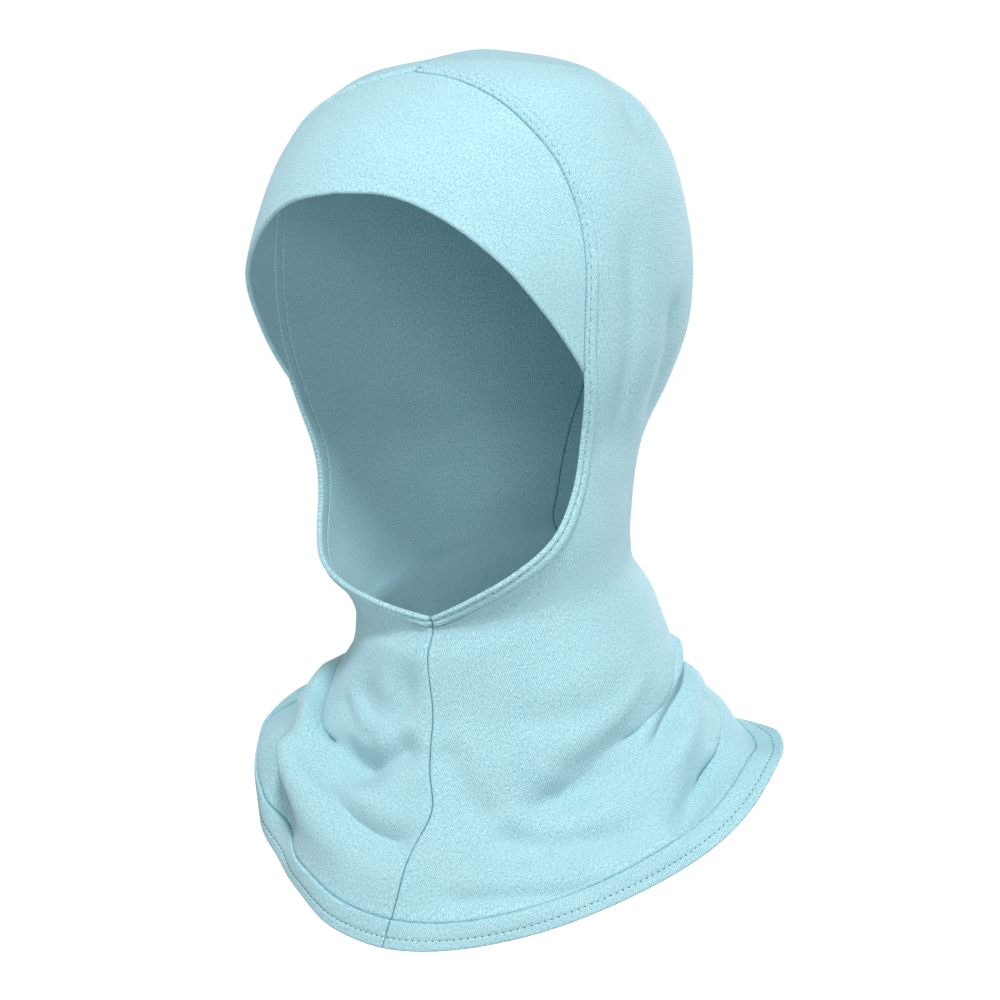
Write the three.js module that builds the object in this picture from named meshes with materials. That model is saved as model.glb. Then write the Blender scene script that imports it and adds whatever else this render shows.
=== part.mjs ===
// A full-cover jersey undercap: a close hood sewn from two side panels, a forehead band let in over the front,
// and a loose bib that falls from the neck. It keeps the form it has in use, round an empty hollow.
// +Z is up, the hood opens towards -Y and the cap's left is +X. The origin is inside the crown, where the cap
// rests on what holds it up.
import * as THREE from "three";
import { mergeVertices } from "three/addons/utils/BufferGeometryUtils.js";

// Driving dimensions, in millimetres. Reaches are measured from the upright line through the crown, and drops
// down from the crown, to the inside of the cloth.
const HEAD_BREADTH = 151.8;
const BROW_REACH = 101.4;
const HEAD_BACK_REACH = 77.9;
const OPENING_DROP = 219;
const NECK_BACK_DROP = 181;
const NECK_SIDE_DROP = 202;
const NECK_BREADTH = 108.4;
const NECK_FRONT_REACH = 42.6;
const NECK_BACK_REACH = 55.2;
const NECK_MIDDLE = 3.2; // where the neck is widest, behind the crown
const TURN_AXIS = 12; // the upright line that the bib is turned about, behind the crown
const HEM_BREADTH = 214;
const HEM_FRONT_REACH = 70;
const HEM_BACK_REACH = 114;
const HEM_MIDDLE = 36;
const HEM_FRONT_DROP = 343.5;
const HEM_SIDE_DROP = 278;
const HEM_BACK_DROP = 263;
const HEM_RISE = 21; // how far the hem is lifted where it lies over the right shoulder
const CLOTH = 1.2; // one layer of jersey
const FOLDED = 1.9; // the same jersey turned under and stitched down
const EDGE_WIDTH = 6; // turned edge beside the band and the opening
const HEM_WIDTH = 13;
const GAP = 0.3; // between neighbouring pieces
const FOLD_RISE = 4; // of a full ridge over the smooth form, or the depth of a full valley under it
const FOLD_SPREAD = 8; // how far a full fold reaches to each side
const FOLD_FADE = 0.22; // share of a fold's length over which it runs out at each end
const FOLD_STEPS = 5; // straight steps between two points of a fold

// A list of named columns from plain rows.
function table(columns, rows) {
  return rows.map((row) => Object.fromEntries(columns.map((name, i) => [name, row[i]])));
}

// How many mesh cells each piece has.
const CROWN_CELLS = 5;
const OPENING_CELLS = 24; // along the edge round the opening, of the panel and of its turned edge alike
const TEMPLE_CELLS = 11; // of those, the ones beside the band
const BIB_CELLS = 20;
const ROUND_CELLS = 25;
const HEM_CELLS = 2;
const BAND_CELLS = 7;

// Sections of the hood from the crown to the lower end of its opening. Drops are shares of OPENING_DROP, half
// is a share of half HEAD_BREADTH, front of BROW_REACH, and side (where the section is widest) and back of
// HEAD_BACK_REACH. Square fills out the corners, egg narrows the front, and seam is how far the front seam
// lies to the left, in degrees.
const HEAD_SECTIONS = table(
  ["dropFront", "dropSide", "dropBack", "half", "front", "side", "back", "square", "egg", "seam"],
  [
    [0, 0, 0, 0, 0, 0, 0, 0, 0, 6],
    [0.02, 0.04, 0.01, 0.52, 0.21, 0.01, 0.39, 0, 0, 6],
    [0.045, 0.055, 0.07, 0.67, 0.41, 0, 0.61, 0, 0, 6],
    [0.11, 0.095, 0.12, 0.81, 0.64, -0.01, 0.8, 0, 0.02, 6],
    [0.2, 0.17, 0.18, 0.9, 0.83, -0.04, 0.92, 0.01, 0.03, 5],
    [0.3, 0.27, 0.27, 0.98, 0.94, -0.06, 0.99, 0.01, 0.03, 4],
    [0.41, 0.38, 0.38, 1, 1, -0.07, 1, 0.02, 0.03, 4],
    [0.51, 0.49, 0.48, 0.97, 0.995, -0.07, 0.97, 0.02, 0.03, 4],
    [0.61, 0.59, 0.57, 0.91, 0.975, -0.08, 0.91, 0.01, 0.01, 4],
    [0.715, 0.69, 0.65, 0.81, 0.94, -0.08, 0.8, 0, -0.01, 5],
    [0.805, 0.77, 0.72, 0.775, 0.82, -0.08, 0.74, 0, 0, 6],
    [0.9, 0.855, 0.78, 0.75, 0.645, -0.07, 0.715, 0.01, 0, 7],
  ],
);

// Sections of the neck and bib. The neck is 0 and the hem is 1: fall is the way down and flare the way out,
// at the front, at the sides and at the back. Turn is how far the bib is twisted to the cap's left, and seam
// how far the front seam follows, in degrees.
const BIB_SECTIONS = table(
  [
    "fallFront", "fallSide", "fallBack", "flareHalf", "flareFront", "flareMiddle", "flareBack",
    "square", "egg", "turn", "seam",
  ],
  [
    [0, 0, 0, 0, 0, 0, 0, 0.01, 0, 0, 9],
    [0.13, 0.12, 0.11, -0.01, 0.01, 0.08, 0.02, 0.01, 0, 5, 8],
    [0.29, 0.28, 0.25, 0.08, 0.05, 0.23, 0.13, 0.02, 0.01, 13, 11],
    [0.45, 0.49, 0.47, 0.22, 0.19, 0.31, 0.28, 0.01, 0, 24, 13],
    [0.6, 0.65, 0.67, 0.41, 0.35, 0.39, 0.47, -0.01, -0.01, 34, 17],
    [0.74, 0.77, 0.84, 0.71, 0.59, 0.52, 0.71, -0.02, -0.03, 39, 16],
    [0.86, 0.9, 0.97, 0.88, 0.83, 0.76, 0.89, -0.03, -0.07, 27, 12],
    [1, 1, 1, 1, 1, 1, 1, -0.04, -0.09, 18, 8],
  ],
);

// The front edge of a side panel: over the crown beside the band, down along the opening and round under it.
// Angle is degrees round from the front seam, and row counts the sections down from the crown.
const PANEL_EDGE = [
  { angle: 0, row: 2.28 },
  { angle: 22.5, row: 2.63 },
  { angle: 44, row: 3.36 },
  { angle: 59.5, row: 4.23 },
  { angle: 67.5, row: 5.15 },
  { angle: 70.7, row: 5.9 },
  { angle: 71.7, row: 6.7 },
  { angle: 73, row: 7.6 },
  { angle: 75, row: 8.2 },
  { angle: 76.5, row: 8.85 },
  { angle: 76, row: 9.56 },
  { angle: 73, row: 10.18 },
  { angle: 67, row: 10.72 },
  { angle: 57, row: 11.1 },
  { angle: 41.5, row: 11.41 },
  { angle: 21, row: 11.69 },
  { angle: 0, row: 11.97 },
];

// The lower edge of the forehead band, from the middle to where it meets the panel's edge.
const BROW_EDGE = [
  { angle: 0, row: 4.8 },
  { angle: 17, row: 4.91 },
  { angle: 32, row: 5.31 },
  { angle: 47, row: 5.99 },
  { angle: 60, row: 6.83 },
];

// How the hem is lifted round the bib, in shares of HEM_RISE, at angles round from the front seam.
const HEM_WAVE = [
  { angle: -180, rise: 0 },
  { angle: -136, rise: 0.15 },
  { angle: -90, rise: 0.92 },
  { angle: -76, rise: 0.92 },
  { angle: -48, rise: 0.1 },
  { angle: -34, rise: 0.1 },
  { angle: -14, rise: -0.05 },
  { angle: 20, rise: 0.05 },
  { angle: 68, rise: -0.1 },
  { angle: 98, rise: 0.2 },
  { angle: 112, rise: 0.2 },
  { angle: 140, rise: 0 },
  { angle: 180, rise: 0 },
];
const WAVE_ROWS = 2.5; // rows above the hem over which the lift fades

// Where the cloth rolls and creases. A path is a list of angle and row. Rise is a share of FOLD_RISE, negative
// for a valley, and above and below are shares of FOLD_SPREAD, to the upper and lower side of the path.
const FOLDS = [
  {
    path: [[215, 14.9], [180, 14.7], [140, 14.6], [108, 14.75], [84, 15.05], [62, 15.1], [38, 15.5]],
    rise: 0.45,
    above: 1.12,
    below: 0.75,
  },
  {
    path: [[150, 15], [110, 15.15], [92, 15.45], [74, 15.85], [52, 16]],
    rise: -0.65,
    above: 0.75,
    below: 0.75,
  },
  { path: [[150, 15.2], [110, 15.5], [92, 15.9], [72, 16.4], [48, 16.6]], rise: 0.4, above: 0.88, below: 1 },
  {
    path: [[150, 15.7], [116, 16.1], [104, 16.5], [84, 16.85], [62, 18.1]],
    rise: -1.1,
    above: 0.75,
    below: 0.75,
  },
  {
    path: [[200, 16.3], [150, 16.3], [114, 16.7], [98, 17.2], [76, 17.9]],
    rise: 0.3,
    above: 0.88,
    below: 1.25,
  },
  {
    path: [[-110, 14.7], [-70, 15.05], [-56, 15.72], [-40, 15.97], [-20, 15.85]],
    rise: -1.15,
    above: 1,
    below: 0.75,
  },
  {
    path: [[-150, 15.9], [-110, 15.95], [-84, 16], [-62, 16.15], [-40, 16.3], [-22, 16.2]],
    rise: 0.5,
    above: 0.75,
    below: 1.12,
  },
  { path: [[-110, 16.1], [-78, 16.45], [-64, 16.75], [-48, 16.9]], rise: -0.6, above: 0.75, below: 0.88 },
  { path: [[-62, 16.3], [-39, 16.6], [-16, 17.05], [4, 16.7]], rise: -0.6, above: 1, below: 1 },
  { path: [[-38, 15.4], [-20, 15.55], [-6, 15.1]], rise: -0.4, above: 1, below: 0.88 },
  { path: [[-46, 13.8], [-24, 14.2], [-8, 13.6]], rise: -0.4, above: 1.12, below: 1.12 },
  { path: [[34, 15.8], [52, 15.85], [70, 15.9]], rise: -0.4, above: 1, below: 0.88 },
  { path: [[10, 16.4], [34, 16.6], [60, 17.1]], rise: -0.33, above: 0.75, below: 0.75 },
  { path: [[130, 13.1], [180, 13.3], [230, 13.1]], rise: 0.35, above: 0.88, below: 0.88 },
  { path: [[94, 2.3], [94, 3.6], [102, 4.6]], rise: -0.35, above: 0.88, below: 0.88 },
  { path: [[104, 6.4], [110, 7.5], [113, 9]], rise: -0.4, above: 0.88, below: 0.88 },
];

const jersey = (name) =>
  Object.assign(new THREE.MeshStandardMaterial({ color: 0x9fd3df, roughness: 0.9, metalness: 0 }), { name });

// A smooth curve through evenly counted knots, one column at a time.
function through(knots, at, column) {
  const last = knots.length - 1;
  const i = Math.min(Math.max(Math.floor(at), 0), last - 1);
  const u = at - i;
  const b = knots[i][column];
  const c = knots[i + 1][column];
  const a = i > 0 ? knots[i - 1][column] : 2 * b - c;
  const d = i + 2 <= last ? knots[i + 2][column] : 2 * c - b;
  return b + 0.5 * u * (c - a + u * (2 * a - 5 * b + 4 * c - d + u * (3 * (b - c) + d - a)));
}

const mix = (from, to, share) => from + (to - from) * share;

const headRows = HEAD_SECTIONS.map((s) => ({
  dropFront: s.dropFront * OPENING_DROP,
  dropSide: s.dropSide * OPENING_DROP,
  dropBack: s.dropBack * OPENING_DROP,
  half: (s.half * HEAD_BREADTH) / 2,
  front: s.front * BROW_REACH,
  side: s.side * HEAD_BACK_REACH,
  back: s.back * HEAD_BACK_REACH,
  square: s.square,
  egg: s.egg,
  turn: 0,
  seam: s.seam,
}));
const bibRows = BIB_SECTIONS.map((s) => ({
  dropFront: mix(OPENING_DROP, HEM_FRONT_DROP, s.fallFront),
  dropSide: mix(NECK_SIDE_DROP, HEM_SIDE_DROP, s.fallSide),
  dropBack: mix(NECK_BACK_DROP, HEM_BACK_DROP, s.fallBack),
  half: mix(NECK_BREADTH, HEM_BREADTH, s.flareHalf) / 2,
  front: mix(NECK_FRONT_REACH, HEM_FRONT_REACH, s.flareFront),
  side: mix(NECK_MIDDLE, HEM_MIDDLE, s.flareMiddle),
  back: mix(NECK_BACK_REACH, HEM_BACK_REACH, s.flareBack),
  square: s.square,
  egg: s.egg,
  turn: s.turn,
  seam: s.seam,
}));
const ROWS = [...headRows, ...bibRows];
const HEM_ROW = ROWS.length - 1;

// Mirrored past the crown, so that the top is smooth.
const mirrored = ["half", "front", "back", "side"];
const crownRow = Object.fromEntries(
  Object.entries(ROWS[1]).map(([key, value]) => [key, mirrored.includes(key) ? -value : value]),
);
const knotRows = [crownRow, ...ROWS];

function sectionAt(row) {
  return Object.fromEntries(Object.keys(ROWS[0]).map((key) => [key, through(knotRows, row + 1, key)]));
}

const smoothStep = (x) => THREE.MathUtils.smoothstep(x, 0, 1);

// How far the cloth is lifted with the hem at a place.
function hemLift(angle, row) {
  const turned = THREE.MathUtils.euclideanModulo(angle + 180, 360) - 180;
  const next = HEM_WAVE.findIndex((knot) => turned < knot.angle);
  const [from, to] = [HEM_WAVE[next - 1], HEM_WAVE[next]];
  const share = mix(from.rise, to.rise, smoothStep((turned - from.angle) / (to.angle - from.angle)));
  const near = Math.max(1 - (HEM_ROW - row) / WAVE_ROWS, 0);
  return HEM_RISE * share * near * near;
}

// A point of the smooth form: angle is in degrees round from the front seam, positive to the cap's left.
function smoothForm(angle, row) {
  const s = sectionAt(row);
  const a = THREE.MathUtils.degToRad(angle + s.seam - s.turn);
  const wide = (Math.sin(a) + s.square * Math.sin(3 * a)) / (1 - s.square);
  const deep = (Math.cos(a) - s.square * Math.cos(3 * a)) / (1 - s.square);
  const middle = (s.back - s.front) / 2;
  const skew = (s.side - middle) / 2;
  const ends = (s.dropFront + s.dropBack) / 2;
  const x = s.half * wide * (1 - s.egg * Math.cos(a));
  const y = middle + skew - (deep * (s.front + s.back)) / 2 - skew * Math.cos(2 * a);
  const drop =
    (ends + s.dropSide) / 2 +
    ((s.dropFront - s.dropBack) / 2) * Math.cos(a) +
    ((ends - s.dropSide) / 2) * Math.cos(2 * a);
  const turn = THREE.MathUtils.degToRad(s.turn);
  return new THREE.Vector3(
    x * Math.cos(turn) - (y - TURN_AXIS) * Math.sin(turn),
    TURN_AXIS + x * Math.sin(turn) + (y - TURN_AXIS) * Math.cos(turn),
    hemLift(angle, row) - drop,
  );
}

const STEP = 0.02; // of a row or of 50 degrees, to take slopes over

function slopes(form, angle, row) {
  const at = Math.min(Math.max(row, 2 * STEP), HEM_ROW - STEP);
  const down = form(angle, at + STEP).sub(form(angle, at - STEP)).divideScalar(2 * STEP);
  const round = form(angle + 50 * STEP, at).sub(form(angle - 50 * STEP, at)).divideScalar(100 * STEP);
  return { down, round, out: new THREE.Vector3().crossVectors(down, round).normalize() };
}

const foldLines = FOLDS.map((fold) => {
  const last = (fold.path.length - 1) * FOLD_STEPS;
  const points = Array.from({ length: last + 1 }, (_, n) => {
    const at = n / FOLD_STEPS;
    return smoothForm(through(fold.path, at, 0), through(fold.path, at, 1));
  });
  return { ...fold, points };
});

// How far one fold lifts the cloth at a point, given the downward direction on the cloth there.
function foldLift({ points, rise, above, below }, p, down) {
  let best = { distance: Infinity, share: 0, lower: 0 };
  for (let n = 0; n + 1 < points.length; n += 1) {
    const line = points[n + 1].clone().sub(points[n]);
    const t = THREE.MathUtils.clamp(p.clone().sub(points[n]).dot(line) / line.lengthSq(), 0, 1);
    const away = p.clone().sub(points[n].clone().addScaledVector(line, t));
    if (away.length() < best.distance)
      best = { distance: away.length(), share: (n + t) / (points.length - 1), lower: away.dot(down) };
  }
  const spread = FOLD_SPREAD * (best.lower > 0 ? below : above);
  const ends = smoothStep(best.share / FOLD_FADE) * smoothStep((1 - best.share) / FOLD_FADE);
  return FOLD_RISE * rise * ends * Math.exp(-((best.distance / spread) ** 2));
}

// The smooth form with its folds.
function clothForm(angle, row) {
  const p = smoothForm(angle, row);
  const { down, out } = slopes(smoothForm, angle, row);
  const lift = foldLines.reduce((sum, fold) => sum + foldLift(fold, p, down), 0);
  return p.addScaledVector(out, lift);
}

const onEdge = (at) => ({ angle: through(PANEL_EDGE, at, "angle"), row: through(PANEL_EDGE, at, "row") });

// The smooth form of one side, with the angle counted from the front seam to the back seam.
const sideForm = (hand) => (angle, row) => smoothForm(angle * hand, row);

// A point beside the panel's edge, by a width measured on the cloth away from the opening. Cells are counted
// along the edge from the crown.
function besideEdge(hand, cell, width) {
  const last = PANEL_EDGE.length - 1;
  const at = (cell * last) / OPENING_CELLS;
  const p = onEdge(at);
  const ahead = onEdge(Math.min(at + STEP, last));
  const behind = onEdge(Math.max(at - STEP, 0));
  const { down, round } = slopes(sideForm(hand), p.angle, p.row);
  const E = round.dot(round);
  const F = round.dot(down);
  const G = down.dot(down);
  // The direction square to the edge on the cloth, as steps of angle and row. At the seams it follows the seam.
  const onSeam = at <= 0 || at >= last;
  const along = { angle: ahead.angle - behind.angle, row: ahead.row - behind.row };
  const angle = onSeam ? 0 : F * along.angle + G * along.row;
  const row = onSeam ? -Math.sign(along.angle) : -(E * along.angle + F * along.row);
  const length = Math.sqrt(E * angle * angle + 2 * F * angle * row + G * row * row);
  return { angle: p.angle + (width * angle) / length, row: p.row + (width * row) / length };
}

// The angle that half a gap takes up beside the front or back seam.
function seamGap(angle, row) {
  const girth = slopes(smoothForm, angle, row).round.length();
  return GAP / 2 / Math.max(girth, GAP / 20);
}

// The row that lies a width above the hem.
function aboveHem(angle, width) {
  return HEM_ROW - width / slopes(smoothForm, angle, HEM_ROW - 0.3).down.length();
}

// A closed piece of cloth from a grid of places on the form. Its inner face lies on the form.
function clothSolid(across, along, thick, placeOf) {
  const points = [];
  for (const out of [0, thick])
    for (let j = 0; j <= along; j += 1)
      for (let i = 0; i <= across; i += 1) {
        const { angle, row, shift = 0 } = placeOf(i / across, j / along);
        const p = clothForm(angle, row).addScaledVector(slopes(clothForm, angle, row).out, out);
        points.push(p.x + shift, p.y, p.z);
      }
  const layer = (across + 1) * (along + 1);
  const at = (i, j, upper) => upper * layer + j * (across + 1) + i;
  const index = [];
  const quad = (a, b, c, d) => index.push(a, b, c, a, c, d);
  for (let j = 0; j < along; j += 1)
    for (let i = 0; i < across; i += 1) {
      quad(at(i, j, 1), at(i, j + 1, 1), at(i + 1, j + 1, 1), at(i + 1, j, 1));
      quad(at(i, j, 0), at(i + 1, j, 0), at(i + 1, j + 1, 0), at(i, j + 1, 0));
    }
  for (let i = 0; i < across; i += 1) {
    quad(at(i, 0, 0), at(i, 0, 1), at(i + 1, 0, 1), at(i + 1, 0, 0));
    quad(at(i, along, 0), at(i + 1, along, 0), at(i + 1, along, 1), at(i, along, 1));
  }
  for (let j = 0; j < along; j += 1) {
    quad(at(0, j, 0), at(0, j + 1, 0), at(0, j + 1, 1), at(0, j, 1));
    quad(at(across, j, 0), at(across, j, 1), at(across, j + 1, 1), at(across, j + 1, 0));
  }
  return closed(points, index);
}

// Merges the shared corners, drops the faces that closed up at a point, and turns the faces outwards.
function closed(points, index) {
  const raw = new THREE.BufferGeometry()
    .setAttribute("position", new THREE.Float32BufferAttribute(points, 3))
    .setIndex(index);
  const merged = mergeVertices(raw, 1e-3);
  const kept = [];
  const old = merged.index.array;
  for (let i = 0; i < old.length; i += 3) {
    const [a, b, c] = [old[i], old[i + 1], old[i + 2]];
    if (a !== b && b !== c && c !== a) kept.push(a, b, c);
  }
  if (signedVolume(merged, kept) < 0) kept.reverse();
  merged.setIndex(kept);
  merged.computeVertexNormals();
  return merged;
}

function signedVolume(geometry, index) {
  const corner = (i) => new THREE.Vector3().fromBufferAttribute(geometry.getAttribute("position"), index[i]);
  let volume = 0;
  for (let i = 0; i < index.length; i += 3) volume += corner(i).dot(corner(i + 1).cross(corner(i + 2))) / 6;
  return volume;
}

// The angle of a place between the front and back seams, half a gap clear of both. Share is 0 at the front.
const betweenSeams = (share, row) => mix(seamGap(0, row), 180 - seamGap(180, row), share);

// One side of the hood and bib. Hand is 1 for the cap's left and -1 for its right.
function sidePanel(hand) {
  const setBack = EDGE_WIDTH + GAP;
  const top = besideEdge(hand, 0, setBack).row;
  const lower = besideEdge(hand, OPENING_CELLS, setBack).row;
  const cells = CROWN_CELLS + OPENING_CELLS + BIB_CELLS;
  return clothSolid(ROUND_CELLS, cells, CLOTH, (i, j) => {
    const cell = Math.round(j * cells);
    if (cell === 0) return { angle: 90 * hand, row: 0, shift: (hand * GAP) / 2 };
    const beside = cell - CROWN_CELLS;
    const below = beside - OPENING_CELLS;
    if (beside > 0 && below < 0) {
      const front = besideEdge(hand, beside, setBack);
      return { angle: mix(front.angle, betweenSeams(1, front.row), i) * hand, row: front.row };
    }
    let row = (top * cell) / CROWN_CELLS;
    if (below >= 0) row = mix(lower, aboveHem(180 * i * hand, HEM_WIDTH + GAP), below / BIB_CELLS);
    return { angle: betweenSeams(i, row) * hand, row };
  });
}

// The turned and stitched edge of a side panel, from the top of the band to the front seam.
function turnedEdge(hand) {
  return clothSolid(1, OPENING_CELLS, FOLDED, (i, j) => {
    const p = besideEdge(hand, Math.round(j * OPENING_CELLS), i * EDGE_WIDTH);
    return { angle: Math.max(p.angle, seamGap(0, p.row)) * hand, row: p.row };
  });
}

// The hem of one side, turned up all round the bib.
function hem(hand) {
  return clothSolid(ROUND_CELLS, HEM_CELLS, FOLDED, (i, j) => {
    const row = aboveHem(180 * i * hand, mix(HEM_WIDTH, 0, j));
    return { angle: betweenSeams(i, row) * hand, row };
  });
}

// The forehead band, let in between the two side panels.
function foreheadBand() {
  return clothSolid(2 * TEMPLE_CELLS, BAND_CELLS, FOLDED, (i, j) => {
    const across = Math.round((2 * i - 1) * TEMPLE_CELLS);
    const hand = across < 0 ? -1 : 1;
    const upper = besideEdge(hand, Math.abs(across), -GAP);
    const lowerEdge = [...BROW_EDGE, besideEdge(hand, TEMPLE_CELLS, -GAP)];
    const at = (Math.abs(across) * (lowerEdge.length - 1)) / TEMPLE_CELLS;
    const angle = mix(upper.angle, through(lowerEdge, at, "angle"), j) * hand;
    return { angle, row: mix(upper.row, through(lowerEdge, at, "row"), j) };
  });
}

const cap = new THREE.Group();
function piece(name, geometry) {
  const mesh = new THREE.Mesh(geometry, jersey(name));
  mesh.name = name;
  cap.add(mesh);
}
piece("forehead_band", foreheadBand());
piece("side_panel_left", sidePanel(1));
piece("side_panel_right", sidePanel(-1));
piece("turned_edge_left", turnedEdge(1));
piece("turned_edge_right", turnedEdge(-1));
piece("hem_left", hem(1));
piece("hem_right", hem(-1));

export default cap;
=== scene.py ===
"""A full-cover jersey undercap: cloth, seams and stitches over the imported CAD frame."""

import math

import bmesh
import bpy
import numpy as np
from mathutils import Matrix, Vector


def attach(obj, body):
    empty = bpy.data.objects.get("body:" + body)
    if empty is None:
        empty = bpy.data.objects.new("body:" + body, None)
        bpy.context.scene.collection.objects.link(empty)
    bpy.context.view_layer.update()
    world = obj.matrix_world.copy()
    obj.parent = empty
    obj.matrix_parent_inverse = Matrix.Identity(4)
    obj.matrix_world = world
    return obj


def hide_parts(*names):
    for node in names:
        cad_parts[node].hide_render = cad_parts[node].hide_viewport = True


bl_info = {
    "name": "Jersey Undercap",
    "version": (1, 0, 0),
    "blender": (4, 5, 0),
    "location": "View3D > Sidebar > Undercap",
    "description": "Models a full-cover jersey undercap, its seams and its stitches",
    "category": "Add Mesh",
}

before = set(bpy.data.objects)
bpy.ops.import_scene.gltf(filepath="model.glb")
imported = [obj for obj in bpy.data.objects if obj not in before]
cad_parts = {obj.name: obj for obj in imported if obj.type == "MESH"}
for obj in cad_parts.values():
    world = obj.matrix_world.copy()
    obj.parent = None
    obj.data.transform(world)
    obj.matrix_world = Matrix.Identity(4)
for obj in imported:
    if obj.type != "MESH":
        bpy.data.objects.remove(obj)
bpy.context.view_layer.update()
MM = 0.001

# Sections of the hood from the crown to the lower end of its opening. Drops are shares of the opening's drop,
# half is a share of half the breadth, front of the front reach, and side (where the section is widest) and
# back of the back reach. Square fills out the corners, egg narrows the front, and seam is how far the front
# seam lies to the left, in degrees.
HEAD_COLUMNS = (
    "drop_front", "drop_side", "drop_back", "half", "front", "side", "back", "square", "egg", "seam",
)
HEAD_SECTIONS = (
    (0, 0, 0, 0, 0, 0, 0, 0, 0, 6),
    (0.02, 0.04, 0.01, 0.52, 0.21, 0.01, 0.39, 0, 0, 6),
    (0.045, 0.055, 0.07, 0.67, 0.41, 0, 0.61, 0, 0, 6),
    (0.11, 0.095, 0.12, 0.81, 0.64, -0.01, 0.8, 0, 0.02, 6),
    (0.2, 0.17, 0.18, 0.9, 0.83, -0.04, 0.92, 0.01, 0.03, 5),
    (0.3, 0.27, 0.27, 0.98, 0.94, -0.06, 0.99, 0.01, 0.03, 4),
    (0.41, 0.38, 0.38, 1, 1, -0.07, 1, 0.02, 0.03, 4),
    (0.51, 0.49, 0.48, 0.97, 0.995, -0.07, 0.97, 0.02, 0.03, 4),
    (0.61, 0.59, 0.57, 0.91, 0.975, -0.08, 0.91, 0.01, 0.01, 4),
    (0.715, 0.69, 0.65, 0.81, 0.94, -0.08, 0.8, 0, -0.01, 5),
    (0.805, 0.77, 0.72, 0.775, 0.82, -0.08, 0.74, 0, 0, 6),
    (0.9, 0.855, 0.78, 0.75, 0.645, -0.07, 0.715, 0.01, 0, 7),
)

# Sections of the neck and bib. The neck is 0 and the hem is 1: fall is the way down and flare the way out, at
# the front, at the sides and at the back. Turn is how far the bib is twisted to the cap's left, and seam how
# far the front seam follows, in degrees.
BIB_COLUMNS = (
    "fall_front", "fall_side", "fall_back", "flare_half", "flare_front", "flare_middle", "flare_back",
    "square", "egg", "turn", "seam",
)
BIB_SECTIONS = (
    (0, 0, 0, 0, 0, 0, 0, 0.01, 0, 0, 9),
    (0.13, 0.12, 0.11, -0.01, 0.01, 0.08, 0.02, 0.01, 0, 5, 8),
    (0.29, 0.28, 0.25, 0.08, 0.05, 0.23, 0.13, 0.02, 0.01, 13, 11),
    (0.45, 0.49, 0.47, 0.22, 0.19, 0.31, 0.28, 0.01, 0, 24, 13),
    (0.6, 0.65, 0.67, 0.41, 0.35, 0.39, 0.47, -0.01, -0.01, 34, 17),
    (0.74, 0.77, 0.84, 0.71, 0.59, 0.52, 0.71, -0.02, -0.03, 39, 16),
    (0.86, 0.9, 0.97, 0.88, 0.83, 0.76, 0.89, -0.03, -0.07, 27, 12),
    (1, 1, 1, 1, 1, 1, 1, -0.04, -0.09, 18, 8),
)

# The front edge of a side panel: over the crown beside the band, down along the opening and round under it.
# Each point is an angle round from the front seam, in degrees, and a row counted down through the sections.
PANEL_EDGE = np.array(
    [
        (0, 2.28), (22.5, 2.63), (44, 3.36), (59.5, 4.23), (67.5, 5.15), (70.7, 5.9), (71.7, 6.7), (73, 7.6),
        (75, 8.2), (76.5, 8.85), (76, 9.56), (73, 10.18), (67, 10.72), (57, 11.1), (41.5, 11.41), (21, 11.69),
        (0, 11.97),
    ]
)
EDGE_LAST = len(PANEL_EDGE) - 1
TEMPLE = EDGE_LAST / 24 * 11  # where along that edge the band ends

# The lower edge of the band, from the middle to where it meets the panel's edge.
BROW_EDGE = ((0, 4.8), (17, 4.91), (32, 5.31), (47, 5.99), (60, 6.83))

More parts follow.
